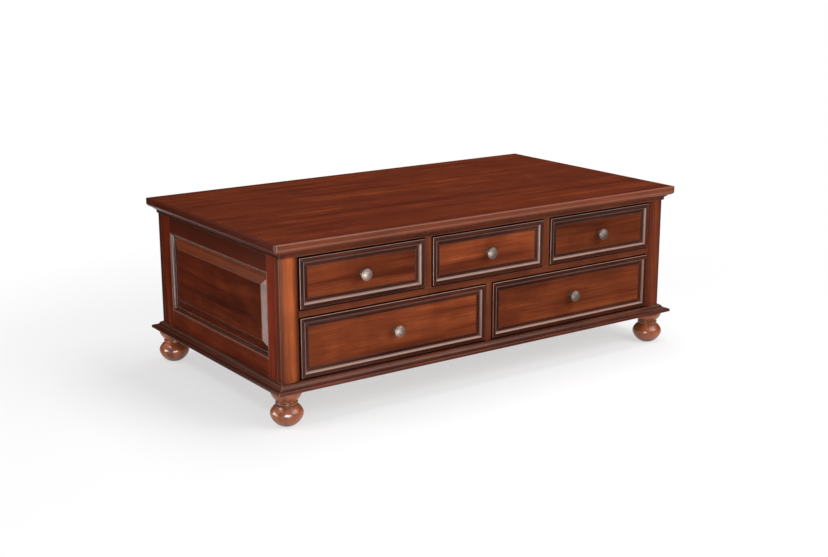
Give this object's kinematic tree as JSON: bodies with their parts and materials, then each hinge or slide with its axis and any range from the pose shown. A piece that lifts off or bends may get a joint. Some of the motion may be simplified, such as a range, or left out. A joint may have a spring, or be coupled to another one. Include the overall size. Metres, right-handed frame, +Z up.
{
  "type": "coffee table with drawers",
  "caption": "Rectangular wooden coffee table with an overhanging top, rows of moulded drawers with round knobs, raised side panels, a moulded base and turned bun feet.",
  "frame": {"origin": "on the floor under the middle of the table top", "axes": "+Z up, +X along the table's length to the right as seen from the drawers, -Y the way the drawers open"},
  "size_m": [1.272, 0.706, 0.45],
  "materials": {
    "mahogany": "red-brown stain under satin lacquer, grain along the longest side",
    "glazed_moulding": "red-brown stain with a dark glaze left in the hollows, satin lacquer",
    "inner_wood": "plain pale hardwood, sanded and sealed",
    "knob_metal": "antique pewter, dark in the hollows and worn bright on the crown",
    "bolt_steel": "plain zinc"
  },
  "bodies": {
    "carcass": {"table_top": "mahogany", "cove_moulding": "glazed_moulding", "base_frame": "glazed_moulding", "front_left_foot": "mahogany", "front_right_foot": "mahogany", "back_left_foot": "mahogany", "back_right_foot": "mahogany", "foot_bolts": "bolt_steel", "front_left_post": "mahogany", "front_right_post": "mahogany", "back_left_post": "mahogany", "back_right_post": "mahogany", "top_rail": "mahogany", "middle_rail": "mahogany", "drawer_dividers": "mahogany", "left_stiles": "mahogany", "left_rails": "mahogany", "left_panel": "mahogany", "left_panel_moulding": "glazed_moulding", "right_stiles": "mahogany", "right_rails": "mahogany", "right_panel": "mahogany", "right_panel_moulding": "glazed_moulding", "back_frame": "mahogany", "back_panels": "mahogany", "back_panel_mouldings": "glazed_moulding", "bottom_board": "inner_wood", "drawer_deck": "inner_wood", "partitions": "inner_wood", "drawer_runners": "inner_wood"},
    "upper_left_drawer": {"upper_left_drawer_front_frame": "glazed_moulding", "upper_left_drawer_front_panel": "mahogany", "upper_left_drawer_knob": "knob_metal", "upper_left_drawer_sides": "inner_wood", "upper_left_drawer_bottom": "inner_wood", "upper_left_drawer_back": "inner_wood"},
    "upper_middle_drawer": {"upper_middle_drawer_front_frame": "glazed_moulding", "upper_middle_drawer_front_panel": "mahogany", "upper_middle_drawer_knob": "knob_metal", "upper_middle_drawer_sides": "inner_wood", "upper_middle_drawer_bottom": "inner_wood", "upper_middle_drawer_back": "inner_wood"},
    "upper_right_drawer": {"upper_right_drawer_front_frame": "glazed_moulding", "upper_right_drawer_front_panel": "mahogany", "upper_right_drawer_knob": "knob_metal", "upper_right_drawer_sides": "inner_wood", "upper_right_drawer_bottom": "inner_wood", "upper_right_drawer_back": "inner_wood"},
    "lower_left_drawer": {"lower_left_drawer_front_frame": "glazed_moulding", "lower_left_drawer_front_panel": "mahogany", "lower_left_drawer_knob": "knob_metal", "lower_left_drawer_sides": "inner_wood", "lower_left_drawer_bottom": "inner_wood", "lower_left_drawer_back": "inner_wood"},
    "lower_right_drawer": {"lower_right_drawer_front_frame": "glazed_moulding", "lower_right_drawer_front_panel": "mahogany", "lower_right_drawer_knob": "knob_metal", "lower_right_drawer_sides": "inner_wood", "lower_right_drawer_bottom": "inner_wood", "lower_right_drawer_back": "inner_wood"}
  },
  "joints": [
    {"name": "upper_left_drawer_slide", "type": "slide", "parent": "carcass", "child": "upper_left_drawer", "axis": [0, -1, 0], "range_m": [0, 0.38]},
    {"name": "upper_middle_drawer_slide", "type": "slide", "parent": "carcass", "child": "upper_middle_drawer", "axis": [0, -1, 0], "range_m": [0, 0.38]},
    {"name": "upper_right_drawer_slide", "type": "slide", "parent": "carcass", "child": "upper_right_drawer", "axis": [0, -1, 0], "range_m": [0, 0.38]},
    {"name": "lower_left_drawer_slide", "type": "slide", "parent": "carcass", "child": "lower_left_drawer", "axis": [0, -1, 0], "range_m": [0, 0.38]},
    {"name": "lower_right_drawer_slide", "type": "slide", "parent": "carcass", "child": "lower_right_drawer", "axis": [0, -1, 0], "range_m": [0, 0.38]}
  ]
}
